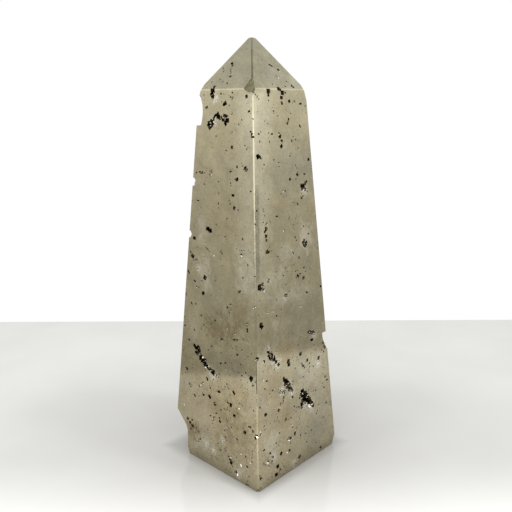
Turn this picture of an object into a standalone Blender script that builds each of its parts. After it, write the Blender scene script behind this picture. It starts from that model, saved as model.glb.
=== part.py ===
"""A polished pyrite obelisk, 50 mm square at the base and 168 mm tall.

One piece of natural stone: a square shaft that tapers up to a shoulder, a low pyramid above it,
worn edges, a few larger chips, and the angular vugs and pits that raw pyrite has, some of them
lined with small cubic crystals. Metres, +Z up, origin at the centre of the base, faces square to
X and Y. Run with: blender --background --python part.py
"""

import math
import random

import bmesh
import bpy
from mathutils import Euler, Matrix, Vector

MM = 0.001  # the tables of places and sizes below are in millimetres

# Driving dimensions, in metres
BASE_SIDE = 0.050
SHOULDER_HEIGHT = 0.1493
SHOULDER_X, SHOULDER_Y = 0.0283, 0.0296  # the shaft's width at the shoulder, along X and Y
SHOULDER_SHIFT = Vector((-0.0004, -0.0004, 0))  # the shaft leans a little, as hand-cut stone does
APEX = Vector((-0.0005, -0.0005, 0.1694))  # where the four roof faces would meet

# Worn edges: one bevel, each kind of edge taking its share of the width
EDGE_WEAR = 0.0016
EDGE_SEGMENTS = 3
UPRIGHT_SHARE, SHOULDER_SHARE, RIDGE_SHARE, BASE_SHARE = 0.36, 0.3, 0.28, 0.3
CORNER_WEAR = 0.95 * MM  # how far below its sharp form each shoulder corner is rubbed away
CORNER_TILTS = (16, 31)  # degrees, between the edge's own lean and the ridge's
FACET_UP, FACET_LEFT, FACET_RIGHT = 5.8 * MM, 4.7 * MM, 1.3 * MM  # its reach from the front corner
CUT_REACH = 7 * MM
TIP_LOSS = 0.0013  # how much of the sharp point is rubbed away

OUTSIDE = 3 * MM  # how far a chip's cutter stands clear of the stone
SEED = 31

# The four sides as seen from outside: "across" runs to the viewer's right, and "out" is outward
SIDES = {
    "left": (Vector((1, 0, 0)), Vector((0, -1, 0))),
    "right": (Vector((0, 1, 0)), Vector((1, 0, 0))),
    "back": (Vector((-1, 0, 0)), Vector((0, 1, 0))),
    "far": (Vector((0, -1, 0)), Vector((-1, 0, 0))),
}

# Vugs, each a chain of crystal-shaped hollows: (across, up, size) in millimetres on its side,
# across from the side's centre line and up from the base
VUGS = {
    "left": {
        "long diagonal": [
            (-11.3, 48.2, 2.5), (-10.3, 46.9, 2.3), (-9.7, 45.1, 2.0), (-8.6, 44.1, 2.4),
            (-7.4, 43.6, 2.9), (-6.5, 42.2, 2.4), (-5.1, 41.8, 1.6), (-3.6, 41.3, 1.6),
            (-2.0, 40.6, 1.9), (-0.5, 39.8, 1.5),
        ],
        "across the shoulder": [
            (-6.5, 150.6, 1.5), (-6.7, 149.0, 1.8), (-6.9, 147.6, 2.0), (-6.4, 146.6, 1.6),
        ],
        "star": [(0.2, 144.3, 1.6), (-0.5, 143.9, 1.3)],
        "crooked chain": [
            (-7.6, 136.4, 2.4), (-6.4, 136.9, 2.3), (-5.5, 138.5, 0.9), (-4.5, 140.1, 0.9),
            (-3.2, 139.7, 1.7), (-2.0, 139.2, 1.6), (0.9, 139.8, 1.7), (1.4, 138.4, 2.0),
            (0.7, 137.0, 1.4),
        ],
        "middle": [(-7.2, 97.7, 2.1), (-5.8, 96.9, 2.2)],
        "near the toe": [(9.5, 7.7, 1.7), (10.1, 6.3, 1.9)],
        "toe": [(12.9, 3.6, 1.7), (13.9, 2.9, 1.1)],
        "front edge": [(22.3, 21.6, 1.2), (22.7, 22.7, 1.0), (21.0, 23.9, 1.1), (19.6, 25.0, 1.0)],
        "rough patch": [
            (-16.6, 15.4, 1.2), (-15.2, 14.2, 1.5), (-13.8, 15.8, 1.1), (-13.4, 13.2, 1.5),
            (-12.0, 14.9, 1.1), (-14.5, 11.5, 1.2), (-12.3, 11.2, 1.2), (-10.8, 13.0, 1.0),
        ],
        "slit low": [(-9.9, 32.2, 0.9), (-9.2, 32.9, 0.9), (-8.4, 33.6, 0.9), (-7.7, 34.2, 0.9)],
        "slit high": [(15.5, 65.0, 0.8), (15.5, 64.2, 0.7), (15.7, 62.9, 0.8), (15.8, 62.1, 0.8)],
    },
    "right": {
        "great": [
            (4.0, 31.3, 1.9), (3.6, 29.7, 3.0), (4.9, 28.7, 3.6), (5.9, 27.1, 3.7),
            (7.1, 25.7, 3.3), (8.3, 24.3, 2.9), (9.4, 23.2, 2.4), (10.4, 22.4, 1.7),
            (3.2, 25.9, 2.1), (3.1, 24.5, 1.4),
        ],
        "slanting": [
            (-7.0, 40.5, 1.3), (-6.5, 39.1, 1.6), (-6.0, 37.6, 2.0), (-5.0, 36.2, 1.9),
            (-3.8, 34.9, 2.1), (-2.3, 33.5, 1.5), (-9.3, 35.0, 1.1), (-8.2, 34.9, 1.0),
            (-7.1, 34.9, 1.1), (-2.4, 30.9, 1.1), (-7.6, 32.6, 0.8), (-8.0, 31.2, 0.8),
        ],
        "bright-rimmed": [
            (-15.8, 55.0, 1.0), (-14.9, 53.3, 1.4), (-14.0, 51.8, 2.2), (-13.3, 50.6, 2.2),
            (-11.8, 49.8, 2.0), (-10.7, 48.3, 1.6), (-9.7, 46.9, 1.5),
        ],
        "slot": [(9.2, 54.6, 1.3), (10.5, 54.3, 1.6), (11.8, 53.7, 1.7), (13.2, 53.1, 1.4)],
        "below the slot": [(10.9, 50.8, 1.1), (11.8, 50.6, 1.0)],
        "near the front": [(-18.2, 64.9, 2.0), (-17.6, 64.0, 1.6)],
        "horned": [(10.1, 113.0, 2.5), (9.1, 113.5, 1.8), (11.4, 114.3, 1.3), (10.9, 112.0, 1.6)],
        "clump": [(8.6, 91.3, 1.5), (9.6, 90.4, 1.9), (10.5, 91.2, 1.2), (9.1, 92.2, 1.0)],
        "upright chain": [
            (-12.0, 101.6, 1.0), (-12.4, 99.9, 1.3), (-13.1, 98.9, 1.1), (-12.6, 97.2, 1.2),
            (-12.6, 95.7, 1.0), (-12.6, 91.4, 1.4), (-11.7, 91.2, 1.1),
        ],
        "edge cluster": [(-17.7, 78.9, 2.0), (-16.8, 78.2, 1.6), (-16.0, 79.9, 1.2), (-15.4, 77.6, 1.2)],
        "under the shoulder": [
            (-7.3, 148.5, 1.6), (-7.4, 147.2, 1.4), (-1.5, 149.4, 1.4), (-0.6, 149.0, 1.1),
            (0.5, 148.0, 1.5), (2.0, 148.1, 0.9), (-0.3, 146.3, 1.5), (-0.2, 144.5, 1.2),
            (4.1, 145.0, 1.5),
        ],
        "slit": [(3.2, 138.5, 0.9), (2.8, 137.7, 0.9), (2.3, 137.0, 0.9)],
        "dotted chain": [
            (-2.6, 133.6, 0.9), (-2.1, 132.6, 1.4), (-1.2, 131.0, 1.1), (-1.6, 129.0, 1.4),
        ],
        "by the front edge": [(-14.6, 125.9, 1.4), (-13.6, 125.8, 1.2)],
        "twin": [(-3.8, 46.3, 1.7), (-3.5, 45.0, 1.6)],
        "low oval": [(-5.9, 14.3, 1.6), (-4.8, 14.2, 1.4), (-2.0, 15.0, 1.5)],
        "low trail": [
            (-18.7, 10.0, 1.1), (-16.5, 9.1, 1.2), (-15.9, 10.8, 1.2), (-17.2, 13.0, 0.9),
            (-13.4, 5.7, 1.6), (-11.9, 3.8, 1.2), (-14.4, 2.7, 1.4), (-10.9, 10.2, 1.5),
        ],
        "in the notch": [(19.8, 49.4, 1.5), (18.9, 47.4, 1.6), (19.6, 45.3, 1.4), (18.8, 43.6, 1.2)],
    },
    "back": {
        "wandering": [
            (6.2, 62.0, 1.6), (5.6, 60.4, 2.2), (4.4, 59.1, 2.5), (3.0, 58.5, 2.2), (1.9, 57.0, 1.8),
            (0.4, 56.4, 1.4), (-1.2, 56.0, 1.2),
        ],
        "hollow": [(-11.0, 22.4, 2.6), (-9.4, 21.0, 3.0), (-7.8, 20.4, 2.2), (-10.2, 18.8, 1.8)],
        "under the shoulder": [(5.5, 141.2, 1.9), (6.6, 140.0, 1.7), (4.2, 139.1, 1.2)],
        "lone": [(-6.1, 103.5, 2.2), (-4.9, 102.6, 1.5)],
    },
    "far": {
        "rift": [
            (-3.0, 38.6, 1.4), (-2.0, 37.2, 2.2), (-1.1, 35.6, 2.7), (0.2, 34.3, 2.6), (1.3, 32.6, 2.0),
            (2.8, 31.8, 1.4),
        ],
        "cluster": [(10.6, 70.3, 1.8), (11.9, 69.2, 2.0), (9.6, 68.6, 1.3), (12.8, 70.9, 1.1)],
        "high": [(-4.6, 124.2, 2.0), (-3.4, 123.4, 1.6), (-5.8, 125.4, 1.1)],
        "low": [(-15.2, 12.4, 2.1), (-13.8, 11.5, 1.7), (-16.3, 13.9, 1.2)],
    },
}

# Single pits on the two sides that the reference shows, (across, up, size) in millimetres
PITS = {
    "left": [
        (18.8, 44.3, 1.9), (16.6, 21.8, 1.3), (-0.4, 27.6, 1.5), (8.6, 30.2, 1.6), (1.8, 33.5, 1.4),
        (-3.5, 29.5, 1.5), (10.7, 26.6, 1.5), (2.9, 21.2, 1.2), (-5.3, 36.6, 1.8), (10.0, 35.8, 1.4),
        (-17.8, 37.3, 1.5), (7.4, 117.5, 1.6), (4.2, 120.3, 1.4), (-15.8, 85.5, 1.5),
        (-15.0, 92.8, 1.4), (-8.2, 78.0, 1.9), (11.0, 76.2, 1.2), (6.7, 107.0, 1.2),
        (11.2, 90.1, 1.2), (4.5, 128.9, 1.2), (5.9, 111.6, 1.2), (-9.0, 71.6, 1.5),
        (11.7, 121.6, 1.4), (-11.8, 118.8, 1.4), (-9.9, 142.8, 1.1), (10.9, 146.5, 1.1),
        (19.2, 0.4, 1.5),
    ],
    "right": [
        (-18.3, 29.5, 1.2), (-10.7, 28.3, 1.7), (-7.1, 23.2, 1.4), (-5.8, 9.3, 1.1), (-23.0, 5.0, 1.3),
        (14.0, 1.9, 1.3), (19.3, 32.2, 1.2), (3.8, 47.0, 1.3), (7.8, 43.0, 1.2), (15.3, 41.7, 1.6),
        (-17.6, 50.5, 1.3), (-12.5, 80.4, 1.2), (7.8, 77.3, 1.2), (4.5, 78.8, 1.2), (-3.5, 72.8, 1.6),
        (2.4, 116.5, 1.2), (6.8, 117.8, 1.2), (14.0, 123.2, 1.1), (5.0, 41.5, 1.2), (-21.0, 52.6, 1.2),
        (0.2, 3.7, 1.3),
    ],
}
HIDDEN_SIDES = ("back", "far")
PITS_PER_HIDDEN_SIDE = 34
ROOF_PITS_PER_SIDE = 5
BASE_PITS = 7
BASE_CLEAR_RADIUS = 9 * MM  # the middle of the base stays whole, as its seat

# Small cubes standing in the vugs: (across, up, size, depth of the centre) in millimetres
CRYSTALS = {
    "left": [
        (-4.4, 41.9, 1.0, 0.95), (-2.9, 41.2, 1.0, 0.95), (-1.3, 40.6, 0.9, 0.9), (-7.2, 42.3, 1.1, 1.2),
        (-5.9, 147.0, 0.9, 0.9), (-6.0, 137.6, 1.0, 1.1), (9.9, 6.4, 0.8, 0.9),
    ],
    "right": [
        (4.7, 25.9, 1.5, 1.7), (7.3, 24.0, 1.4, 1.5), (9.3, 22.8, 1.1, 1.1), (5.9, 28.9, 1.3, 2.2),
        (-4.6, 36.7, 1.1, 1.1), (-6.6, 38.2, 0.9, 0.9), (-2.6, 34.3, 1.0, 1.0), (-13.1, 51.7, 1.0, 1.1),
        (-10.5, 48.9, 0.9, 0.9), (13.0, 52.9, 0.9, 0.9), (10.7, 112.2, 1.0, 1.0), (9.7, 91.0, 0.8, 0.8),
    ],
    "back": [(4.6, 60.0, 1.1, 1.2), (2.7, 58.9, 1.0, 1.1), (-9.0, 21.9, 1.3, 1.5), (-9.9, 19.8, 1.1, 1.2)],
    "far": [(-1.5, 36.6, 1.1, 1.2), (0.6, 33.6, 1.2, 1.3), (11.6, 69.8, 0.9, 0.9)],
}


def remove_everything():
    for item in list(bpy.data.objects):
        bpy.data.objects.remove(item, do_unlink=True)


def half_width(side, height):
    """Half of the shaft's width there, as the distance from the axis to that side."""
    across, out = SIDES[side]
    at_shoulder = (SHOULDER_Y if out.x == 0 else SHOULDER_X) / 2 + SHOULDER_SHIFT.dot(out)
    at_base = BASE_SIDE / 2
    return at_base + (at_shoulder - at_base) * height / SHOULDER_HEIGHT


def shaft_point(side, across_mm, up_mm):
    """A point on a side's polished plane, carried on upward past the shoulder."""
    across, out = SIDES[side]
    height = up_mm * MM
    return across * across_mm * MM + out * half_width(side, height) + Vector((0, 0, height))


def side_normal(side):
    _, out = SIDES[side]
    run_in = half_width(side, 0) - half_width(side, SHOULDER_HEIGHT)
    return (out * SHOULDER_HEIGHT + Vector((0, 0, run_in))).normalized()


def corner(side_a, side_b, height):
    """The sharp upright edge between two sides, at a height."""
    place = Vector((0, 0, height))
    for side in (side_a, side_b):
        place += SIDES[side][1] * half_width(side, height)
    return place


def new_object(name, mesh):
    item = bpy.data.objects.new(name, mesh)
    bpy.context.collection.objects.link(item)
    return item


def mesh_of(name, shape):
    bmesh.ops.recalc_face_normals(shape, faces=shape.faces)
    if shape.calc_volume(signed=True) < 0:
        bmesh.ops.reverse_faces(shape, faces=shape.faces)
    mesh = bpy.data.meshes.new(name)
    shape.to_mesh(mesh)
    shape.free()
    return mesh


def cutter(name, shape):
    """A guide body that a Boolean reads and no render shows."""
    item = new_object(name, mesh_of(name, shape))
    item.hide_render = True
    item.display_type = "WIRE"
    return item


def hull_cutter(name, points):
    """A guide body that is the closed convex body around some points."""
    shape = bmesh.new()
    made = bmesh.ops.convex_hull(shape, input=[shape.verts.new(place) for place in points])
    unused = {item for item in made["geom_interior"] + made["geom_unused"] if item in set(shape.verts)}
    bmesh.ops.delete(shape, geom=list(unused), context="VERTS")
    return cutter(name, shape)


def rough_block():
    """The tapered shaft with its pyramid, edges still sharp, each edge marked with its share of wear."""
    shape = bmesh.new()
    order = ("left", "right", "back", "far")
    base = [corner(order[i - 1], order[i], 0) for i in range(4)]
    shoulder = [corner(order[i - 1], order[i], SHOULDER_HEIGHT) for i in range(4)]
    left_of_roof = TIP_LOSS / (APEX.z - SHOULDER_HEIGHT)
    tip = [APEX.lerp(place, left_of_roof) for place in shoulder]
    rings = [[shape.verts.new(place) for place in ring] for ring in (base, shoulder, tip)]
    shape.faces.new(rings[0])
    shape.faces.new(rings[-1])
    for low, high in zip(rings, rings[1:]):
        for i in range(4):
            shape.faces.new((low[i - 1], low[i], high[i], high[i - 1]))
    mesh = mesh_of("obelisk", shape)

    share = mesh.attributes.new("bevel_weight_edge", "FLOAT", "EDGE")
    for edge in mesh.edges:
        heights = sorted(mesh.vertices[v].co.z for v in edge.vertices)
        if heights[1] > SHOULDER_HEIGHT + MM:
            share.data[edge.index].value = RIDGE_SHARE
        elif heights[0] > MM:
            share.data[edge.index].value = SHOULDER_SHARE
        elif heights[1] > MM:
            share.data[edge.index].value = UPRIGHT_SHARE
        else:
            share.data[edge.index].value = BASE_SHARE
    return mesh


def edge_chip(name, side_a, side_b, profile, scoop=0.0):
    """A chip out of an upright edge: profile gives (height, bite) in millimetres, where bite is how
    far the chip reaches along both sides, and scoop is how much deeper its middle goes."""
    out_a, out_b = SIDES[side_a][1], SIDES[side_b][1]
    outward = (out_a + out_b).normalized()
    points = []
    for height_mm, bite_mm in profile:
        edge = corner(side_a, side_b, height_mm * MM)
        on_a, on_b = edge - out_b * bite_mm * MM, edge - out_a * bite_mm * MM
        points += [on_a, on_b, (on_a + on_b) / 2 - outward * scoop * MM]
        points += [on_a + out_a * OUTSIDE, on_b + out_b * OUTSIDE, edge + outward * 2 * OUTSIDE]
    return hull_cutter(name, points)


def flat_cutter(name, place, outward):
    """Rubs the stone flat: it takes away what lies outward of a plane through a place."""
    level = outward.orthogonal().normalized()
    other = outward.cross(level)
    points = []
    for a in (-CUT_REACH, CUT_REACH):
        for b in (-CUT_REACH, CUT_REACH):
            points += [place + level * a + other * b, place + level * a + other * b + outward * CUT_REACH]
    return hull_cutter(name, points)


def shoulder_facet():
    """The small three-cornered facet broken off the front corner of the shoulder."""
    front = corner("left", "right", SHOULDER_HEIGHT)
    up_the_ridge = (APEX - front).normalized() * FACET_UP
    along_left = front - SIDES["left"][0] * FACET_LEFT
    along_right = front + SIDES["right"][0] * FACET_RIGHT
    outward = (along_left - front - up_the_ridge).cross(along_right - front - up_the_ridge).normalized()
    if outward.y > 0:
        outward = -outward
    return flat_cutter("shoulder facet", along_left, outward)


def worn_corner(side_a, side_b, tilt):
    """One flat of the rounding where a roof ridge meets an upright edge; tilt is how far it looks up."""
    outward = (SIDES[side_a][1] + SIDES[side_b][1]).normalized() * math.cos(tilt)
    outward += Vector((0, 0, math.sin(tilt)))
    place = corner(side_a, side_b, SHOULDER_HEIGHT) - outward * CORNER_WEAR
    return flat_cutter(f"worn {side_a} {side_b} {tilt:.2f}", place, outward)


def chips():
    """Every larger loss, each as a cutter of its own."""
    scoop = [(147.6, 0.6), (146.4, 1.8), (144, 2.9), (141, 3.4), (138, 3.2), (136.3, 2.7)]
    lost_corner = [(17.4, 0.8), (16, 2.1), (14, 4.6), (12, 6.8), (10, 7.8), (5, 8.4), (-1, 8.8)]
    return [
        edge_chip("high scoop", "far", "left", scoop, 0.3),  # it ends below on an abrupt ledge
        edge_chip("upper nick", "far", "left", [(116.4, 1.0), (115.4, 1.9), (113.2, 1.3)]),
        edge_chip("lower nick", "far", "left", [(95.4, 1.0), (94.0, 1.9), (92.6, 1.1)]),
        edge_chip("lost corner", "far", "left", lost_corner, 0.5),
        edge_chip("its worn foot", "far", "left", [(3.2, 8.6), (1.2, 9.3), (-1, 10.6)], 0.5),
        edge_chip("notch", "right", "back", [(51.7, 3.0), (49, 2.9), (46.4, 1.9), (43.8, 0.7)], 0.3),
        edge_chip("worn right foot", "right", "back", [(3.4, 0.9), (1.6, 2.0), (-1, 3.6)]),
        edge_chip("worn toe", "left", "right", [(1.5, 0.5), (0.5, 1.1), (-1, 1.9)]),
        shoulder_facet(),
    ] + [
        worn_corner(*sides, math.radians(tilt))
        for sides in (("far", "left"), ("right", "back"), ("back", "far"))
        for tilt in CORNER_TILTS
    ]


def any_turn(rng):
    return Euler([rng.uniform(-math.pi, math.pi) for _ in range(3)]).to_matrix().to_4x4()


def hollow(rng, place, outward, size, sink=0.12, stretch=0.3):
    """One crystal-shaped hollow that opens at a surface point, as (centre, sides, turn)."""
    sides = [size * rng.uniform(1 - stretch, 1 + stretch / 2) for _ in range(3)]
    return place - outward * size * sink, sides, any_turn(rng)


def roof_face(side):
    """The centre of the roof above a side, the way up its slope, and its outward normal."""
    across, out = SIDES[side]
    eaves = shaft_point(side, 0, SHOULDER_HEIGHT / MM)
    slope = APEX - eaves
    slope -= across * slope.dot(across)
    return eaves, slope, across.cross(slope).normalized()


def hollows(rng):
    """All vugs and pits, as boxes that overlap along each chain."""
    boxes = []
    for side, named in VUGS.items():
        outward = side_normal(side)
        for chain in named.values():
            for across, up, size in chain:
                sink = 0.08 + min(0.3, 0.06 * size)  # the wide hollows also go deeper
                boxes.append(hollow(rng, shaft_point(side, across, up), outward, size * MM, sink))
    for side, pits in PITS.items():
        for across, up, size in pits:
            boxes.append(hollow(rng, shaft_point(side, across, up), side_normal(side), size * MM))
    for side in HIDDEN_SIDES:
        for _ in range(PITS_PER_HIDDEN_SIDE):
            up = 1.5 + 146 * rng.random() ** 1.3  # more of them low down
            reach = half_width(side, up * MM) / MM - 2
            place = shaft_point(side, rng.uniform(-reach, reach), up)
            boxes.append(hollow(rng, place, side_normal(side), rng.uniform(0.9, 1.7) * MM))
    for side in HIDDEN_SIDES:
        across, _ = SIDES[side]
        eaves, slope, outward = roof_face(side)
        for _ in range(ROOF_PITS_PER_SIDE):
            part_up = rng.uniform(0.08, 0.7)
            reach = 12 * MM * (1 - part_up)
            place = eaves + slope * part_up + across * rng.uniform(-reach, reach)
            boxes.append(hollow(rng, place, outward, rng.uniform(0.8, 1.3) * MM))
    for _ in range(BASE_PITS):
        turn = rng.uniform(0, 2 * math.pi)
        radius = rng.uniform(BASE_CLEAR_RADIUS + 2 * MM, 19 * MM)
        place = Vector((radius * math.cos(turn), radius * math.sin(turn), 0))
        boxes.append(hollow(rng, place, Vector((0, 0, -1)), rng.uniform(1.2, 2.4) * MM))
    return boxes


def crystals(rng):
    """The cubes left standing in the vugs, all below the polished surface."""
    cubes = []
    for side, places in CRYSTALS.items():
        outward = side_normal(side)
        for across, up, size, depth in places:
            centre = shaft_point(side, across, up) - outward * depth * MM
            cubes.append((centre, [size * MM] * 3, any_turn(rng)))
    return cubes


def sorted_apart(boxes):
    """The boxes in groups, so that no two in a group overlap and each group is one clean cutter."""
    groups = []
    for box in boxes:
        centre, reach = box[0], Vector(box[1]).length / 2
        for group in groups:
            if all((centre - other[0]).length > reach + Vector(other[1]).length / 2 for other in group):
                group.append(box)
                break
        else:
            groups.append([box])
    return groups


def add_boolean(item, operation, other):
    """Manifold, because Exact leaves cracks here, where so many small cuts cross one another."""
    step = item.modifiers.new(other.name, "BOOLEAN")
    step.operation = operation
    step.object = other
    step.solver = "MANIFOLD"


def add_boxes(item, name, operation, boxes):
    """Cuts out or adds every box, one group after another."""
    for group in sorted_apart(boxes):
        shape = bmesh.new()
        for centre, sides, turn in group:
            size = Matrix.Diagonal((*sides, 1.0))
            bmesh.ops.create_cube(shape, size=1.0, matrix=Matrix.Translation(centre) @ turn @ size)
        add_boolean(item, operation, cutter(name, shape))


def keep_largest_body(item):
    """Applies the modifiers, and drops the splinters and closed bubbles that crossing hollows leave."""
    shape = bmesh.new()
    shape.from_object(item, bpy.context.evaluated_depsgraph_get())
    item.modifiers.clear()
    unseen = set(shape.verts)
    bodies = []
    while unseen:
        body, todo = set(), [unseen.pop()]
        while todo:
            vert = todo.pop()
            body.add(vert)
            near = {edge.other_vert(vert) for edge in vert.link_edges} & unseen
            unseen -= near
            todo += near
        bodies.append(body)
    bodies.sort(key=len)
    spare = [vert for body in bodies[:-1] for vert in body]
    bmesh.ops.delete(shape, geom=spare, context="VERTS")
    bmesh.ops.triangulate(shape, faces=shape.faces)
    shape.to_mesh(item.data)
    shape.free()


def pyrite():
    """Polished pyrite: a pale, slightly brassy grey metal."""
    material = bpy.data.materials.new("pyrite")
    material.use_nodes = True
    shader = material.node_tree.nodes["Principled BSDF"]
    shader.inputs["Base Color"].default_value = (0.47, 0.43, 0.32, 1)
    shader.inputs["Metallic"].default_value = 1.0
    shader.inputs["Roughness"].default_value = 0.22
    return material


def build():
    remove_everything()
    rng = random.Random(SEED)
    obelisk = new_object("obelisk", rough_block())

    wear = obelisk.modifiers.new("worn edges", "BEVEL")
    wear.limit_method = "WEIGHT"
    wear.width = EDGE_WEAR
    wear.segments = EDGE_SEGMENTS

    for chip in chips():
        add_boolean(obelisk, "DIFFERENCE", chip)
    add_boxes(obelisk, "hollow guide", "DIFFERENCE", hollows(rng))
    add_boxes(obelisk, "crystal guide", "UNION", crystals(rng))
    keep_largest_body(obelisk)

    obelisk.data.materials.clear()
    obelisk.data.materials.append(pyrite())
    obelisk.data.shade_smooth()
    obelisk.data.set_sharp_from_angle(angle=math.radians(25))


build()
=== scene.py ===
"""The looks of the pyrite obelisk: its fine pits and crystals, its metal, a plain slab and soft light."""
import math
import random

import bmesh
import bpy
import numpy as np
from mathutils import Euler, Matrix, Vector
from mathutils.kdtree import KDTree


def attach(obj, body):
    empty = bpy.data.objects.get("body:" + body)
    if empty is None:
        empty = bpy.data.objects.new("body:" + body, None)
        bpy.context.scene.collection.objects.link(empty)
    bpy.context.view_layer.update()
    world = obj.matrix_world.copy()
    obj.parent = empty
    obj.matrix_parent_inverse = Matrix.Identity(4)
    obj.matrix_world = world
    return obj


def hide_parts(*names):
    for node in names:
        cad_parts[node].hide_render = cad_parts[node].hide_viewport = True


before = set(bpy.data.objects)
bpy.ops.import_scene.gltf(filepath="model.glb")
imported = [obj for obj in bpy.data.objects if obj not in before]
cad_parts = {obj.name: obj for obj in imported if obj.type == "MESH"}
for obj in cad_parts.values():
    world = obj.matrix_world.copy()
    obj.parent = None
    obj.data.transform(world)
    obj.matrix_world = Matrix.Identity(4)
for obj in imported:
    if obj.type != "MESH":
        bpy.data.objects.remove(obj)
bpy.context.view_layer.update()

MM = 0.001  # the tables of places and sizes below are in millimetres
SEED = 71

# Camera, as fitted to the photograph: it looks at the edge between the left and right sides
CAMERA_AZIMUTH = math.radians(43.388)  # from -Y towards +X
CAMERA_DISTANCE, CAMERA_HEIGHT = 0.2353, 0.1427
CAMERA_YAW, CAMERA_PITCH, CAMERA_ROLL = (math.radians(a) for a in (-0.128, 13.897, -0.205))
CAMERA_LENS, SENSOR = 42.08, 36.0

# The slab that it stands on: its outline along the camera's right and forward, from the stone's axis
SLAB_OUTLINE = [
    (-0.126, -0.16), (0.171, -0.16), (0.171, 0.03), (0.26, 0.155), (-0.26, 0.155), (-0.126, 0.01),
]
SLAB_THICK = 0.012

# A face this near the stone's worn outer form is polished, and one deeper is a pit or a chip
POLISHED_DEPTH = 0.02 * MM
WELD = 0.0002 * MM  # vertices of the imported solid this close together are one
MAIN_PLANE_AREA = 100 * MM * MM
SAME_TURN, SAME_OFFSET = 0.9998, 0.03 * MM  # faces that agree this well lie on one plane
SLIVER_AREA = 0.0001 * MM * MM
EDGE_REACH = 0.58 * MM  # how far the rounding of an upright edge reaches in along a side
SHOULDER_REACH, RIDGE_REACH, BASE_REACH = 0.48 * MM, 0.45 * MM, 0.48 * MM
MOST_NORMAL_LEAN = math.cos(math.radians(24))  # a smoothed normal leans no further than this


def axes_of_view():
    """The camera's right and forward directions, level with the ground."""
    right = Vector((math.cos(CAMERA_AZIMUTH), math.sin(CAMERA_AZIMUTH), 0))
    forward = Vector((-math.sin(CAMERA_AZIMUTH), math.cos(CAMERA_AZIMUTH), 0))
    return right, forward


def make_camera():
    yaw = CAMERA_AZIMUTH + CAMERA_YAW
    forward = Vector((
        -math.sin(yaw) * math.cos(CAMERA_PITCH),
        math.cos(yaw) * math.cos(CAMERA_PITCH),
        -math.sin(CAMERA_PITCH),
    ))
    level = Vector((math.cos(yaw), math.sin(yaw), 0))
    above = level.cross(forward)
    right = level * math.cos(CAMERA_ROLL) + above * math.sin(CAMERA_ROLL)
    up = above * math.cos(CAMERA_ROLL) - level * math.sin(CAMERA_ROLL)
    turn = Matrix((right, up, -forward)).transposed().to_4x4()
    data = bpy.data.cameras.new("camera")
    data.sensor_width = SENSOR
    data.lens = CAMERA_LENS
    data.clip_start = 0.01
    camera = bpy.data.objects.new("camera", data)
    place = -axes_of_view()[1] * CAMERA_DISTANCE + Vector((0, 0, CAMERA_HEIGHT))
    camera.matrix_world = Matrix.Translation(place) @ turn
    bpy.context.collection.objects.link(camera)
    bpy.context.scene.camera = camera


def new_object(name, mesh):
    item = bpy.data.objects.new(name, mesh)
    bpy.context.collection.objects.link(item)
    return item


# The stone's own geometry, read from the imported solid

def triangle_facts(mesh):
    """Centres, unit normals and areas of a triangle mesh's faces, and its corners, as arrays."""
    count = len(mesh.polygons)
    corners = np.empty(len(mesh.vertices) * 3)
    mesh.vertices.foreach_get("co", corners)
    corners = corners.reshape(-1, 3)
    index = np.empty(count * 3, dtype=np.int64)
    mesh.polygons.foreach_get("vertices", index)
    index = index.reshape(-1, 3)
    a, b, c = (corners[index[:, i]] for i in range(3))
    cross = np.cross(b - a, c - a)
    size = np.linalg.norm(cross, axis=1)
    normals = cross / np.maximum(size, 1e-15)[:, None]
    return (a + b + c) / 3, normals, size / 2, corners, index


def main_planes(mesh):
    """The stone's large flat faces as {name: (normal, distance)}: four sides, four roofs, the base."""
    centres, normals, areas, _, _ = triangle_facts(mesh)
    found = []
    for face in np.argsort(-areas):
        offset = normals[face] @ centres[face]
        for plane in found:
            turn = plane["normal"] @ normals[face]
            if turn > SAME_TURN and abs(plane["offset"] - offset) < SAME_OFFSET:
                plane["area"] += areas[face]
                break
        else:
            found.append({"normal": normals[face], "offset": offset, "area": areas[face]})
    sides = {"right": (1, 0), "far": (-1, 0), "back": (0, 1), "left": (0, -1)}
    planes = {}
    for plane in found:
        if plane["area"] < MAIN_PLANE_AREA:
            continue
        normal = plane["normal"]
        kind = "base" if normal[2] < -0.9 else "roof " if normal[2] > 0.3 else ""
        facing = max(sides, key=lambda side: normal[:2] @ np.array(sides[side]))
        name = kind if kind == "base" else kind + facing
        planes.setdefault(name, (normal, plane["offset"]))
    return planes


def worn_form(mesh, planes):
    """The planes of the whole stone's worn outer form, as (normals, offsets): its convex hull."""
    _, _, _, corners, _ = triangle_facts(mesh)
    corners = np.unique(np.round(corners, 7), axis=0)
    middle = corners.mean(axis=0)
    shape = bmesh.new()
    for corner in corners:
        shape.verts.new(corner)
    hull = bmesh.ops.convex_hull(shape, input=shape.verts)
    normals = [normal for normal, _ in planes.values()]
    offsets = [offset for _, offset in planes.values()]
    for face in hull["geom"]:
        if isinstance(face, bmesh.types.BMFace) and face.calc_area() > SLIVER_AREA:
            face.normal_update()
            normal = np.array(face.normal)
            if normal @ (np.array(face.verts[0].co) - middle) < 0:
                normal = -normal
            normals.append(normal)
            offsets.append((corners @ normal).max())
    shape.free()
    return np.array(normals), np.array(offsets)


def depth_below(form, places):
    """How far inside the worn form each place lies, in metres."""
    normals, offsets = form
    depth = np.full(len(places), np.inf)
    for start in range(0, len(places), 20000):
        part = places[start:start + 20000]
        depth[start:start + 20000] = (offsets[None] - part @ normals.T).min(axis=1)
    return depth


def on_plane(planes, name, across, up):
    """A point on a side or the roof above it: across to the viewer's right from the middle, and up."""
    normal, offset = planes[name]
    flat = planes[name.split()[-1]][0]
    out = Vector((round(flat[0]), round(flat[1]), 0))
    along = Vector((0, 0, 1)).cross(out)
    place = along * across + Vector((0, 0, up))
    return place + out * ((offset - Vector(normal).dot(place)) / Vector(normal).dot(out))


# Fine pits and crystals

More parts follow.
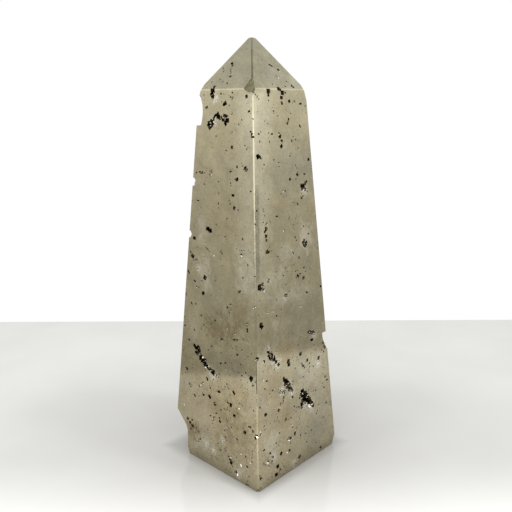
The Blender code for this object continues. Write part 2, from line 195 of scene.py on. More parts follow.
# Small pits that the photograph shows, (across, up, size) in millimetres on their side
SMALL_PITS = {
    "left": [
        (18.7, 25.0, 0.9), (6.7, 30.8, 0.8), (7.5, 30.5, 0.7), (-7.7, 29.6, 0.8), (-7.1, 29.0, 0.8),
        (7.9, 20.3, 0.9), (13.5, 53.9, 0.9), (11.0, 51.6, 0.9), (-17.1, 50.2, 0.8), (-16.5, 50.1, 0.6),
        (-8.5, 71.8, 0.7), (-14.4, 75.7, 0.8), (-13.7, 75.4, 0.7), (-17.8, 78.5, 1.0), (-17.0, 87.0, 0.7),
        (-16.6, 86.4, 0.6), (-8.0, 90.0, 0.6), (-7.4, 89.6, 0.6), (-6.7, 89.2, 0.6), (-6.0, 88.8, 0.5),
        (11.6, 96.2, 0.7), (2.7, 95.4, 0.8), (8.8, 106.6, 0.7), (-13.2, 107.8, 0.8), (-1.7, 107.8, 0.6),
        (-1.6, 106.2, 0.6), (7.4, 122.0, 0.8), (12.4, 121.2, 0.8), (-6.0, 120.1, 0.5), (-6.0, 119.3, 0.6),
        (-5.9, 118.4, 0.5), (-6.8, 119.6, 0.4), (-6.9, 118.2, 0.4), (-12.7, 118.8, 0.7), (-11.1, 118.9, 0.6),
        (-14.4, 118.5, 0.8), (13.6, 134.6, 0.8), (14.1, 133.7, 0.7), (14.5, 132.8, 0.8), (14.3, 139.0, 0.7),
        (12.4, 141.5, 0.9), (-11.2, 147.3, 0.8), (-4.0, 132.6, 0.7), (-13.2, 147.0, 0.6), (-0.6, 147.6, 0.5),
        (-2.2, 147.8, 0.6), (4.0, 146.2, 0.6), (-9.2, 143.0, 0.7), (2.4, 143.6, 0.4), (-6.0, 128.4, 0.5),
        (-15.8, 66.0, 0.8), (-13.2, 66.3, 0.6), (-1.6, 62.0, 0.7), (-3.9, 60.0, 0.6), (4.8, 68.8, 0.8),
        (6.1, 67.0, 0.6), (-8.0, 58.6, 0.6), (8.9, 57.0, 0.9), (9.8, 59.6, 0.6), (10.6, 57.4, 0.7),
        (-13.8, 55.2, 0.8), (-19.5, 55.6, 0.7), (4.6, 46.4, 0.8), (2.3, 45.6, 0.7), (14.0, 44.0, 0.7),
        (-12.6, 27.2, 0.8), (-15.2, 30.0, 0.6), (0.8, 24.0, 0.7), (3.4, 26.4, 0.8), (5.2, 27.4, 0.7),
        (12.8, 17.4, 0.8), (6.2, 15.6, 0.8), (-1.2, 20.8, 0.8), (-4.2, 15.0, 0.6), (-8.4, 9.2, 0.7),
        (2.2, 11.4, 0.7), (17.6, 12.0, 0.8), (15.4, 7.4, 0.7), (18.6, 8.4, 0.9), (19.8, 4.6, 0.7),
        (21.0, 11.2, 0.6), (-18.8, 21.0, 0.7), (-16.4, 24.6, 0.6), (-20.6, 34.0, 0.6),
        (-12.5, 47.7, 2.2), (-11.6, 46.6, 2.0), (-10.6, 45.6, 2.0), (-9.6, 44.4, 2.2), (-8.6, 43.6, 1.8),
        (-7.4, 43.0, 1.8), (-6.0, 42.0, 1.5), (-4.4, 41.0, 1.3), (-3.0, 40.2, 1.2), (-1.6, 39.4, 1.1),
        (-8.1, 137.1, 1.8), (-6.6, 138.2, 1.4), (-5.4, 139.4, 1.3), (-3.9, 140.4, 1.3), (-2.2, 139.3, 1.6),
        (-0.6, 138.6, 1.5), (0.9, 138.1, 1.2), (-0.2, 139.8, 1.0),
    ],
    "right": [
        (12.5, 111.1, 0.7), (12.3, 114.8, 0.7), (8.2, 81.4, 0.8), (-6.4, 103.6, 0.7), (-5.8, 103.6, 0.6),
        (-16.8, 107.0, 0.7), (6.2, 106.8, 0.8), (8.7, 108.8, 0.7), (9.5, 109.5, 0.7), (11.2, 117.9, 0.8),
        (-13.2, 107.2, 0.5), (-13.1, 106.4, 0.5), (-13.0, 105.6, 0.5), (-12.8, 104.8, 0.5),
        (-14.8, 147.8, 0.6), (-14.0, 147.2, 0.6), (-13.2, 146.5, 0.6), (-12.3, 145.7, 0.6),
        (-7.4, 145.2, 0.5), (-8.4, 137.2, 0.5), (-8.2, 134.0, 0.5), (-6.2, 124.2, 0.5), (10.6, 144.2, 0.8),
        (9.6, 136.0, 0.8), (10.2, 135.4, 0.5), (6.8, 131.0, 0.8), (5.4, 132.2, 0.6), (-6.5, 133.6, 0.8),
        (-14.8, 126.6, 0.6), (-13.0, 125.2, 0.6), (-12.4, 121.6, 0.6), (-11.6, 122.8, 0.5),
        (-9.3, 35.6, 0.7), (-18.6, 43.6, 0.9), (-16.6, 42.4, 0.9), (-13.9, 37.7, 0.7), (-12.9, 37.5, 0.6),
        (4.2, 42.5, 0.7), (6.0, 40.5, 0.8), (11.6, 39.2, 0.7), (9.2, 41.4, 0.6), (20.0, 30.3, 0.8),
        (-21.2, 33.4, 0.9), (-7.9, 31.9, 0.6), (-8.2, 30.4, 0.6), (-15.2, 10.6, 0.7), (-18.3, 8.0, 0.7),
        (18.6, 71.6, 1.0), (-9.2, 66.0, 0.7), (-1.2, 74.0, 0.6), (9.4, 71.0, 0.7), (12.2, 80.2, 0.6),
        (5.8, 79.4, 0.6), (3.8, 94.2, 0.6), (4.6, 93.0, 0.6), (-2.6, 97.8, 0.6), (2.2, 88.4, 0.7),
        (5.6, 86.0, 0.8), (12.0, 94.4, 0.7), (9.2, 97.8, 0.6), (-14.2, 68.4, 0.6), (-6.2, 60.2, 0.5),
        (-1.6, 26.6, 0.7), (-4.0, 22.6, 0.7), (0.8, 20.4, 0.7), (12.4, 18.2, 0.8), (16.8, 14.6, 0.6),
        (18.9, 20.4, 0.7), (8.4, 12.0, 0.7), (5.0, 8.2, 0.7), (1.6, 12.8, 0.6), (11.2, 5.2, 0.7),
        (-20.4, 15.8, 0.7), (-21.6, 22.6, 0.8), (-19.4, 25.4, 0.6), (-13.6, 15.6, 0.7), (-11.2, 19.0, 0.6),
        (5.6, 27.4, 3.4), (4.6, 29.4, 2.4), (7.2, 25.2, 3.0), (8.6, 23.8, 2.2), (-6.2, 39.2, 1.8),
        (-5.2, 38.0, 2.0), (-4.4, 36.6, 2.0), (-3.3, 34.8, 1.6),
    ],
    "roof left": [
        (-3.3, 158.6, 0.9), (-2.4, 157.8, 0.9), (-2.5, 156.6, 0.5), (-1.8, 155.8, 0.5), (-1.2, 155.0, 0.5),
        (-0.8, 153.9, 0.8), (-0.1, 154.0, 0.7), (-6.6, 157.0, 0.6), (-5.6, 155.9, 0.6), (-5.4, 153.0, 0.5),
        (-3.3, 152.2, 0.5), (-0.5, 151.4, 0.8), (-9.2, 152.2, 0.5),
    ],
    "roof right": [
        (0.6, 158.0, 0.8), (1.4, 157.7, 0.7), (4.0, 156.4, 0.8), (4.4, 155.9, 0.6), (0.9, 154.0, 0.5),
        (1.3, 153.4, 0.6), (7.0, 150.8, 0.9), (7.6, 150.1, 0.8), (5.2, 152.2, 0.5), (3.0, 150.4, 0.6),
        (-3.6, 151.0, 0.5),
    ],
}
# Where bright crystals show in the photograph, (side, across, up, reach) in millimetres
SPARKLES = [
    ("left", -0.5, 7.5, 1.0), ("left", -4.7, 8.7, 1.2), ("left", 4.7, 13.7, 0.9),
    ("left", -5.0, 146.2, 0.9), ("left", -5.6, 137.8, 1.0), ("left", -3.8, 40.8, 1.2),
    ("left", -1.6, 39.2, 1.2), ("left", -6.4, 42.4, 0.8), ("left", 14.0, 3.6, 1.2),
    ("left", -12.0, 81.0, 1.0), ("right", 4.8, 24.9, 1.1), ("right", 8.6, 23.0, 1.4),
    ("right", -3.8, 37.5, 0.8), ("right", -2.5, 32.6, 1.2), ("right", 13.0, 52.3, 1.3),
    ("right", 10.8, 111.2, 1.1), ("right", -3.5, 72.0, 0.9), ("right", 14.8, 39.4, 1.0),
    ("right", -15.0, 10.7, 1.2), ("right", -3.2, 2.7, 1.2), ("right", -15.0, 54.6, 1.0),
    ("right", -12.4, 50.0, 1.0), ("right", -10.2, 47.2, 1.2), ("right", -8.2, 35.6, 1.2),
    ("back", 4.0, 34.0, 1.6), ("back", -6.0, 72.0, 1.4), ("far", 3.0, 52.0, 1.6),
    ("far", -4.0, 24.0, 1.4),
]
SPARKLE_WEIGHT = 10  # crystals crowd this many times closer there
NOTED_SCALE = 1.25  # a noted pit's cutter against its visible size

# Pits scattered at random, with their places in millimetres
SPRINKLED_PER_SIDE = 380
SPRINKLED_PER_ROOF = 22
SPRINKLED_ON_BASE = 90
LOW_SHARE, LOW_TOP = 0.55, 58  # this share of a side's pits starts below this height
HALF_WIDTH, TAPER, SHOULDER_UP = 24.5, 10.5, 149  # the pitted half width of a side, and what it loses
ROOF_HALF_WIDTH, ROOF_TIP, ROOF_HEIGHT = 13.5, 169.4, 20
TRAIL_LENGTHS = (1, 1, 1, 2, 3)
TRAIL_STEP = (0.5, 1.6)

CRYSTALS_GROWN = 1400
CRYSTAL_WALL_DEPTH = 0.15 * MM  # crystals grow on walls deeper than this
CRYSTAL_SIZE, CRYSTAL_SIDES = (0.2, 0.75), (0.8, 1.1)  # in millimetres, and each side as a share of it
CRYSTAL_COVER = 0.03 * MM  # a crystal's corners stay at least this far below the polished surface


def any_turn(rng):
    return Euler([rng.uniform(-math.pi, math.pi) for _ in range(3)]).to_matrix()


def pit(rng, place, outward, size, sink=0.15):
    """One angular pit that opens at a surface point, as (centre, sides, turn)."""
    sides = [size * rng.uniform(*span) for span in ((0.4, 0.75), (0.6, 1.0), (0.9, 1.5))]
    return place - outward * size * sink, sides, any_turn(rng)


# The crack along the front edge: (up, length, width, how far towards the left side) in millimetres
CREASE = [
    (45.2, 2.6, 0.22, 0.05), (43.0, 2.8, 0.34, 0.1), (40.6, 2.6, 0.40, 0.0), (38.3, 2.7, 0.42, 0.12),
    (36.0, 2.6, 0.34, 0.05), (33.8, 2.4, 0.30, 0.12), (31.9, 1.8, 0.2, 0.04),
]
CREASE_SINK = 0.22 * MM
CREASE_DEPTH = 1.2  # as a share of its width


def crease(planes):
    """The crack's narrow boxes, along the rounded edge between the left and right sides."""
    left, right = (Vector(planes[side][0]) for side in ("left", "right"))
    along = left.cross(right).normalized()
    outward = (left + right).normalized()
    aside = along.cross(outward)
    turn = Matrix((aside, outward, along)).transposed()
    boxes = []
    for up, length, width, shift in CREASE:
        edge = on_plane(planes, "left", planes["right"][1], up * MM)
        edge.x = on_plane(planes, "right", 0, up * MM).x
        place = edge - outward * CREASE_SINK - aside * shift * MM
        boxes.append((place, [width * MM, width * MM * CREASE_DEPTH, length * MM], turn))
    return boxes


def noted_pits(rng, planes):
    pits = []
    for name, places in SMALL_PITS.items():
        outward = Vector(planes[name][0])
        for across, up, size in places:
            place = on_plane(planes, name, across * MM, up * MM)
            pits.append(pit(rng, place, outward, size * MM * NOTED_SCALE))
    return pits


def sprinkled_pits(rng, planes):
    """Pits too small to note one by one: loose ones and short trails, more of them low down."""
    pits = []
    for side in ("left", "right", "back", "far"):
        outward = Vector(planes[side][0])
        made = 0
        while made < SPRINKLED_PER_SIDE:
            up = rng.uniform(1, LOW_TOP) if rng.random() < LOW_SHARE else rng.uniform(LOW_TOP, 148)
            half = HALF_WIDTH - TAPER * up / SHOULDER_UP
            across = rng.uniform(-half, half)
            lean = rng.uniform(0, math.pi)
            for _ in range(rng.choice(TRAIL_LENGTHS)):
                size = 0.26 + 0.58 * rng.random() ** 2.0
                place = on_plane(planes, side, across * MM, up * MM)
                pits.append(pit(rng, place, outward, size * MM))
                across += rng.uniform(*TRAIL_STEP) * math.cos(lean)
                up += rng.uniform(*TRAIL_STEP) * math.sin(lean)
                made += 1
        for _ in range(SPRINKLED_PER_ROOF):
            up = rng.uniform(149.6, 164)
            half = ROOF_HALF_WIDTH * (ROOF_TIP - up) / ROOF_HEIGHT
            place = on_plane(planes, "roof " + side, rng.uniform(-half, half) * MM, up * MM)
            pits.append(pit(rng, place, Vector(planes["roof " + side][0]), rng.uniform(0.16, 0.34) * MM))
    for _ in range(SPRINKLED_ON_BASE):
        place = Vector((rng.uniform(-23, 23) * MM, rng.uniform(-23, 23) * MM, 0))
        pits.append(pit(rng, place, Vector((0, 0, -1)), rng.uniform(0.3, 0.9) * MM))
    return pits


def sorted_apart(boxes):
    """The boxes in groups with no two overlapping, so that each group is one clean cutter."""
    groups = []
    for box in boxes:
        centre, reach = np.array(box[0]), Vector(box[1]).length / 2
        for group in groups:
            near = np.linalg.norm(np.array(group["centres"]) - centre, axis=1)
            if (near > np.array(group["reach"]) + reach).all():
                break
        else:
            group = {"centres": [], "reach": [], "boxes": []}
            groups.append(group)
        group["centres"].append(centre)
        group["reach"].append(reach)
        group["boxes"].append(box)
    return [group["boxes"] for group in groups]


def box_corners(centre, sides, turn):
    signs = [(x, y, z) for x in (-0.5, 0.5) for y in (-0.5, 0.5) for z in (-0.5, 0.5)]
    return [centre + turn @ Vector(s * side for s, side in zip(sign, sides)) for sign in signs]


def boxes_mesh(name, boxes):
    """Many separate boxes as one mesh."""
    quads = [(0, 1, 3, 2), (4, 6, 7, 5), (0, 4, 5, 1), (2, 3, 7, 6), (0, 2, 6, 4), (1, 5, 7, 3)]
    places, faces = [], []
    for box in boxes:
        faces += [[len(places) + i for i in quad] for quad in quads]
        places += box_corners(*box)
    mesh = bpy.data.meshes.new(name)
    mesh.from_pydata(places, [], faces)
    return mesh


def carve(stone, operation, boxes):
    """Cuts the boxes out of the stone or joins them to it, and applies the result."""
    guides = []
    for number, group in enumerate(sorted_apart(boxes)):
        guide = new_object(f"guide {number}", boxes_mesh("guide", group))
        guides.append(guide)
        step = stone.modifiers.new(guide.name, "BOOLEAN")
        step.operation = operation
        step.object = guide
        step.solver = "MANIFOLD"
    graph = bpy.context.evaluated_depsgraph_get()
    made = bpy.data.meshes.new_from_object(stone.evaluated_get(graph))
    stone.modifiers.clear()
    stone.data = made
    for guide in guides:
        bpy.data.objects.remove(guide, do_unlink=True)


def tidy_body(stone, weld=False):
    """Keeps the one large closed body, in triangles. Split vertices are joined first where asked."""
    shape = bmesh.new()
    shape.from_mesh(stone.data)
    if weld:  # never between two cuts: it leaves a mesh that the second one refuses
        bmesh.ops.remove_doubles(shape, verts=shape.verts, dist=WELD)
    unseen = set(shape.verts)
    bodies = []
    while unseen:
        first = unseen.pop()
        body, todo = {first}, [first]
        while todo:
            vert = todo.pop()
            near = {edge.other_vert(vert) for edge in vert.link_edges} & unseen
            unseen -= near
            body |= near
            todo += near
        bodies.append(body)
    bodies.sort(key=len)
    spare = [vert for body in bodies[:-1] for vert in body]
    bmesh.ops.delete(shape, geom=spare, context="VERTS")
    bmesh.ops.triangulate(shape, faces=shape.faces)
    shape.to_mesh(stone.data)
    shape.free()


def in_a_chip(place):
    """Whether a place lies in one of the larger losses, which broke smooth and hold few crystals."""
    x, y, z = place
    scoop = x < -0.0095 and y < -0.0095 and 0.1355 < z < 0.148
    corner = x < -0.0135 and y < -0.0135 and z < 0.018
    notch = x > 0.016 and y > 0.016 and 0.0435 < z < 0.0518
    shoulder = x > 0.008 and y < -0.0128 and z > 0.1475 and z < 0.1555
    foot = z < 0.0036 and abs(x) > 0.0205 and abs(y) > 0.0205
    rough = -0.0175 < x < -0.0095 and y < -0.0215 and 0.009 < z < 0.017
    return scoop or corner or notch or shoulder or foot or rough


def sparkling(planes, places):
    """Whether each place lies where the photograph shows bright crystals."""
    found = np.zeros(len(places), dtype=bool)
    for side, across, up, reach in SPARKLES:
        centre = np.array(on_plane(planes, side, across * MM, up * MM))
        found |= np.linalg.norm(places - centre, axis=1) < reach * MM
    return found


def grown_crystals(rng, stone, form, planes):
    """Small cubes set at random in the walls of the hollows, all below the polished surface."""
    centres, normals, areas, corners, index = triangle_facts(stone.data)
    depth = depth_below(form, centres)
    walls = [i for i in np.nonzero(depth > CRYSTAL_WALL_DEPTH)[0] if not in_a_chip(centres[i])]
    more = np.where(sparkling(planes, centres), SPARKLE_WEIGHT, 1)
    weights = [areas[i] * min(depth[i], 1.5 * MM) * more[i] for i in walls]
    cubes = []
    for face in rng.choices(walls, weights, k=CRYSTALS_GROWN):
        a, b, c = (Vector(corners[i]) for i in index[face])
        s, t = sorted((rng.random(), rng.random()))
        place = a * s + b * (t - s) + c * (1 - t)
        size = min(rng.uniform(*CRYSTAL_SIZE) * MM, 0.9 * depth[face])
        centre = place - Vector(normals[face]) * size * 0.15
        sides = [size * rng.uniform(*CRYSTAL_SIDES) for _ in range(3)]
        cubes.append((centre, sides, any_turn(rng)))
    places = np.array([corner for cube in cubes for corner in box_corners(*cube)])
    shallowest = depth_below(form, places).reshape(-1, 8).min(axis=1)
    return [cube for cube, depth in zip(cubes, shallowest) if depth > CRYSTAL_COVER]


# Faces told apart, and their normals

POLISHED, WALL, CRYSTAL, BROKEN, GLINT, DEEP = range(6)  # in the order of the stone's materials
# Walls deeper than this are painted near black, as shade
DEEP_WALL = 0.7 * MM
SPARKLE_DEPTH = 1.2 * MM
ON_CRYSTAL = 0.004  # how near a crystal's surface a face lies, as a share of the crystal's side
SHOULDER_FACET = Vector((0.22, -0.80, 0.56)).normalized()  # the way the front corner's facet faces
FACET_TURN = 0.985
GLINT_SHARE = 0.7  # of the pits have a lower wall painted bright: a painted highlight
GLINT_CELL = 0.9 * MM
GLINT_DEPTH = 0.5 * MM
GLINT_UP = 0.4  # such a wall's normal rises at least this much
CELL_MIX = (7919, 104729, 1299709)  # primes that turn a cell's three numbers into one


def catches_light(place, normal):
    """Whether a pit's wall is turned up to the light and gets the painted highlight, told apart pit by pit.
    """
    cell = [math.floor(value / GLINT_CELL) for value in place]
    chance = random.Random(sum(step * prime for step, prime in zip(cell, CELL_MIX))).random()
    return normal[2] > GLINT_UP and chance < GLINT_SHARE


def kinds_of_face(stone, form, planes, cubes):
    """Which of the six materials each face takes."""
    centres, normals, _, _, _ = triangle_facts(stone.data)
    depth = depth_below(form, centres)
    deep = depth > POLISHED_DEPTH
    kinds = np.where(deep, WALL, POLISHED)
    in_front = (centres[:, 0] > 0.006) & (centres[:, 1] < -0.006) & (centres[:, 2] > 0.146)
    kinds[in_front & (normals @ np.array(SHOULDER_FACET) > FACET_TURN)] = BROKEN
    # Where the crystals sparkle, their crystal faces take the glint material: a painted highlight
    bright = sparkling(planes, centres) & (normals[:, 2] > -0.2) & (depth < SPARKLE_DEPTH)
    tree = KDTree(len(cubes))
    for number, (centre, _, _) in enumerate(cubes):
        tree.insert(centre, number)
    tree.balance()
    for face in np.nonzero(deep)[0]:
        place = Vector(centres[face])
        for _, number, away in tree.find_n(place, 5):
            centre, sides, turn = cubes[number]
            if away > Vector(sides).length:
                break
            local = turn.transposed() @ (place - centre)
            outness = max(abs(local[i]) / sides[i] for i in range(3))
            if abs(outness - 0.5) < ON_CRYSTAL and normals[face][2] > -0.1:
                kinds[face] = GLINT if bright[face] else CRYSTAL
                break
        if kinds[face] == WALL and in_a_chip(centres[face]):
            kinds[face] = BROKEN
        # Up-turned lower walls of shallow pits take the glint material: a painted highlight
        elif kinds[face] == WALL and depth[face] < GLINT_DEPTH and catches_light(place, normals[face]):
            kinds[face] = GLINT
        # Deep walls take the near-black material: painted shade
        elif kinds[face] == WALL and depth[face] > DEEP_WALL:
            kinds[face] = DEEP
    return kinds


def edge_reaches(names):
    """How far the rounding between each pair of main planes reaches below either of them."""
    table = np.full((len(names), len(names)), EDGE_REACH)
    for i, a in enumerate(names):
        for j, b in enumerate(names):
            roofs = a.startswith("roof") + b.startswith("roof")
            if "base" in (a, b):
                table[i, j] = BASE_REACH
            elif roofs == 2:
                table[i, j] = RIDGE_REACH
            elif roofs == 1:
                table[i, j] = SHOULDER_REACH
    return table


def rounded_normals(places, planes):
    """The outward direction on the worn form: flat on each main plane and turning smoothly between."""
    names = list(planes)
    normals = np.array([planes[name][0] for name in names])
    offsets = np.array([planes[name][1] for name in names])
    lean = np.sqrt(1 - np.clip(normals @ normals.T, -1, 1) ** 2)  # how far two planes turn apart
    reaches = edge_reaches(names) * lean + 1e-9
    depth = np.maximum(offsets[None] - places @ normals.T, 0)
    order = np.argsort(depth, axis=1)
    first, second = order[:, 0], order[:, 1]
    reach = reaches[first, second]
    weight = np.clip(1 - depth / reach[:, None], 0, 1)
    made = weight @ normals
    return made / np.maximum(np.linalg.norm(made, axis=1), 1e-9)[:, None]


def set_normals(stone, kinds, planes):
    """Polished faces reflect as one smooth worn form, and pits, crystals and chips as flat facets."""
    _, flat, _, corners, index = triangle_facts(stone.data)
    smooth = rounded_normals(corners, planes)[index]
    made = np.repeat(flat[:, None], 3, axis=1)
    near = (smooth * made).sum(axis=2) > MOST_NORMAL_LEAN
    polished = (kinds == POLISHED)[:, None] & near
    made[polished] = smooth[polished]
    stone.data.shade_smooth()
    stone.data.normals_split_custom_set(made.reshape(-1, 3).tolist())


# Materials

class Nodes:
    """A material's node tree, with short ways to add to it. A value may be a number or a socket."""

    def __init__(self, name):
        self.material = bpy.data.materials.new(name)
        self.material.use_nodes = True
        self.tree = self.material.node_tree
        self.shader = self.tree.nodes["Principled BSDF"]
        self.place = self.add("ShaderNodeTexCoord").outputs["Object"]

    @classmethod
    def of_world(cls, name):
        """The same for the scene's world, with an empty node tree."""
        nodes = cls.__new__(cls)
        world = bpy.data.worlds.new(name)
        world.use_nodes = True
        bpy.context.scene.world = world
        nodes.tree = world.node_tree
        nodes.tree.nodes.clear()
        return nodes

    def add(self, kind, **settings):
        node = self.tree.nodes.new(kind)
        for name, value in settings.items():
            setattr(node, name, value)
        return node

    def put(self, socket, value):
        if isinstance(value, bpy.types.NodeSocket):
            self.tree.links.new(value, socket)
        else:
            socket.default_value = value

    def math(self, operation, a, b=0.0, c=0.0):
        node = self.add("ShaderNodeMath", operation=operation)
        for socket, value in zip(node.inputs, (a, b, c)):
            self.put(socket, value)
        return node.outputs[0]

    def vector(self, operation, a, b=(0, 0, 0)):
        node = self.add("ShaderNodeVectorMath", operation=operation)
        self.put(node.inputs[0], a)
        self.put(node.inputs[1], b)
        return node.outputs["Value" if operation in ("LENGTH", "DOT_PRODUCT") else "Vector"]

    def spread(self, value, low, high, to_low=0.0, to_high=1.0, smooth=True):
        """Maps low..high onto to_low..to_high, held at both ends."""
        node = self.add("ShaderNodeMapRange", interpolation_type="SMOOTHSTEP" if smooth else "LINEAR")
        for socket, number in zip(node.inputs, (value, low, high, to_low, to_high)):
            self.put(socket, number)
        return node.outputs[0]

    def noise(self, size_mm, detail=2.0, rough=0.5, warp=0.0):
        """Noise whose lumps are about that size, from 0 to 1."""
        node = self.add("ShaderNodeTexNoise")
        self.put(node.inputs["Vector"], self.place)
        self.put(node.inputs["Scale"], 1 / (size_mm * MM))
        self.put(node.inputs["Detail"], detail)
        self.put(node.inputs["Roughness"], rough)
        self.put(node.inputs["Distortion"], warp)
        return node.outputs["Fac"]

    def cells(self, size_mm):
        """Cells of about that size, each with its own colour and the distance from its middle."""
        node = self.add("ShaderNodeTexVoronoi")
        self.put(node.inputs["Vector"], self.place)
        self.put(node.inputs["Scale"], 1 / (size_mm * MM))
        return node

    def mix(self, share, a, b, blend="MIX"):
        node = self.add("ShaderNodeMix", data_type="RGBA", blend_type=blend)
        self.put(node.inputs[0], share)
        for socket, value in ((node.inputs[6], a), (node.inputs[7], b)):
            self.put(socket, value if isinstance(value, bpy.types.NodeSocket) else (*value, 1.0))
        return node.outputs[2]

    def axes(self, place=None):
        """The x, y and z of the surface coordinates, or of another vector."""
        node = self.add("ShaderNodeSeparateXYZ")
        self.put(node.inputs[0], self.place if place is None else place)
        return tuple(node.outputs)

    def red(self, colour):
        node = self.add("ShaderNodeSeparateColor")
        self.put(node.inputs[0], colour)
        return node.outputs[0]

    def grey(self, value):
        node = self.add("ShaderNodeCombineColor")
        for socket in node.inputs:
            self.put(socket, value)
        return node.outputs[0]

    def bump(self, height, distance, strength=1.0, normal=None):
        node = self.add("ShaderNodeBump")
        self.put(node.inputs["Strength"], strength)
        self.put(node.inputs["Distance"], distance)
        self.put(node.inputs["Height"], height)
        if normal is not None:
            self.put(node.inputs["Normal"], normal)
        return node.outputs[0]

    def finish(self, **inputs):
        """Sets the shader's inputs, named in lower case, and returns the material."""
        for name, value in inputs.items():
            socket = self.shader.inputs[name.replace("_", " ").title()]
            if not isinstance(value, (float, int, bpy.types.NodeSocket)):
                value = (*value, 1.0)
            self.put(socket, value)
        return self.material


# Pyrite as linear colours
GREY_BRASS = (0.55, 0.517, 0.405)
TAN_BRASS = (0.58, 0.525, 0.385)
STAIN_COLOURS = {
    "pale": (0.80, 0.765, 0.645),
    "grey": (0.43, 0.415, 0.355),
    "ochre": (0.51, 0.41, 0.24),
    "brown": (0.38, 0.32, 0.205),
}
# Near-black painted shade in the pit walls
PIT_SHADE = (0.035, 0.028, 0.018)
# Painted shade inside pores too small to cut
PORE_SHADE = (0.13, 0.11, 0.07)
# Near-white colour of the crystal crusts, a painted sparkle
CRUST_SPARKLE = (0.97, 0.95, 0.88)
CRUST_REACH = 1.3  # how far a crust spreads, as a share of its crystals' reach
# A browner tone and painted shade low on the stone
LOW_TINT_AND_SHADE = (0.70, 0.67, 0.61)

# Larger stains and pale patches: (side, across, up, half width, half height, kind, strength)
STAINS = [
    ("left", 2, 136, 13, 9, "ochre", 0.25),
    ("left", 4, 104, 9.5, 7.5, "ochre", 0.2),
    ("left", -11, 98, 2.4, 4.5, "pale", 0.75),
    ("left", -11, 92, 3.6, 2.2, "pale", 0.45),
    ("left", -9, 82, 3.8, 4.4, "pale", 0.75),
    ("left", -7, 76, 3.6, 3.4, "pale", 0.65),
    ("left", 13.5, 85, 4.6, 9, "pale", 0.85),
    ("left", 10, 90, 3, 4, "pale", 0.5),
    ("left", 2, 60, 11, 6, "brown", 0.85),
    ("left", 12, 67, 6.5, 6.5, "brown", 0.55),
    ("left", 2, 46, 19, 5, "grey", 0.35),
    ("left", 1, 26, 21, 13, "ochre", 0.5),
    ("left", 7, 24, 11, 7, "brown", 0.5),
    ("left", -9, 7, 5, 3, "pale", 0.45),
    ("left", -14, 57, 3.5, 6, "pale", 0.35),
    ("left", -13, 104, 3, 14, "grey", 0.25),
    ("left", 12, 38, 7.5, 4, "ochre", 0.45),
    ("left", 9, 14, 9, 7, "brown", 0.6),
    ("left", 16, 20, 6, 8, "brown", 0.4),
    ("left", -14, 11, 4, 5, "brown", 0.6),
    ("left", -6, 21, 8.5, 5.5, "pale", 0.2),
    ("left", -13, 13, 3.8, 3.2, "brown", 0.9),
    ("right", 5, 62, 17, 11, "grey", 0.45),
    ("right", 12, 84, 4, 5, "grey", 0.4),
    ("right", -5, 108, 5, 7, "ochre", 0.25),
    ("right", -1, 72, 14, 5, "pale", 0.6),
    ("right", -8, 80, 9, 5, "pale", 0.5),
    ("right", -6, 50, 6, 4.5, "ochre", 0.55),
    ("right", 15, 122, 4, 9, "grey", 0.5),
    ("right", 0, 138, 12, 8, "ochre", 0.25),
    ("right", -12, 82, 4, 3.5, "pale", 0.3),
    ("right", -12, 94, 2.3, 8, "ochre", 0.65),
    ("right", 10, 93, 4.2, 6.4, "pale", 0.85),
    ("right", -3, 89, 3.6, 4.4, "pale", 0.6),
    ("right", 4, 88, 5, 3, "pale", 0.5),
    ("right", -10, 63, 1.8, 2.4, "pale", 0.55),
    ("right", 11, 37, 9, 7.5, "pale", 0.5),
    ("right", -14, 40, 8, 8.5, "ochre", 0.45),
    ("right", -7, 25, 5, 6.5, "ochre", 0.5),
    ("right", -16, 17, 5, 4, "pale", 0.55),
    ("right", 13, 11, 11, 8, "grey", 0.5),
    ("right", -15, 105, 1.6, 7, "pale", 0.35),
    ("back", -4, 118, 8, 14, "ochre", 0.35),
    ("back", 6, 84, 12, 13, "grey", 0.6),
    ("back", -9, 66, 4, 5, "pale", 0.6),
    ("back", 3, 30, 14, 12, "ochre", 0.4),
    ("back", -12, 12, 7, 6, "brown", 0.5),
    ("far", 4, 124, 7, 10, "grey", 0.5),
    ("far", -5, 92, 5, 8, "pale", 0.55),
    ("far", 6, 62, 11, 8, "brown", 0.5),
    ("far", -8, 40, 8, 9, "ochre", 0.4),
    ("far", 10, 16, 9, 7, "pale", 0.4),
]
THROUGH = 6.0  # how far a stain reaches in from its side, in millimetres


def stain_share(nodes, planes, side, across, up, half_width, half_height, ragged):
    """A soft-edged patch on one side, its outline broken by noise."""
    centre = on_plane(planes, side, across * MM, up * MM)
    sizes = (half_width, THROUGH, half_height)
    if side in ("right", "far"):
        sizes = (THROUGH, half_width, half_height)
    away = nodes.vector("SUBTRACT", nodes.place, tuple(centre))
    away = nodes.vector("MULTIPLY", away, tuple(1 / (size * MM) for size in sizes))
    distance = nodes.vector("LENGTH", away)
    distance = nodes.math("ADD", distance, ragged)
    return nodes.spread(distance, 1.3, 0.3)


def edge_sum(planes, left, right, up):
    """x plus y of the edge between a left and a right plane at one height."""
    near = 13.0 * MM  # a place on each plane towards the edge
    return on_plane(planes, right, -near, up * MM).x + on_plane(planes, left, near, up * MM).y


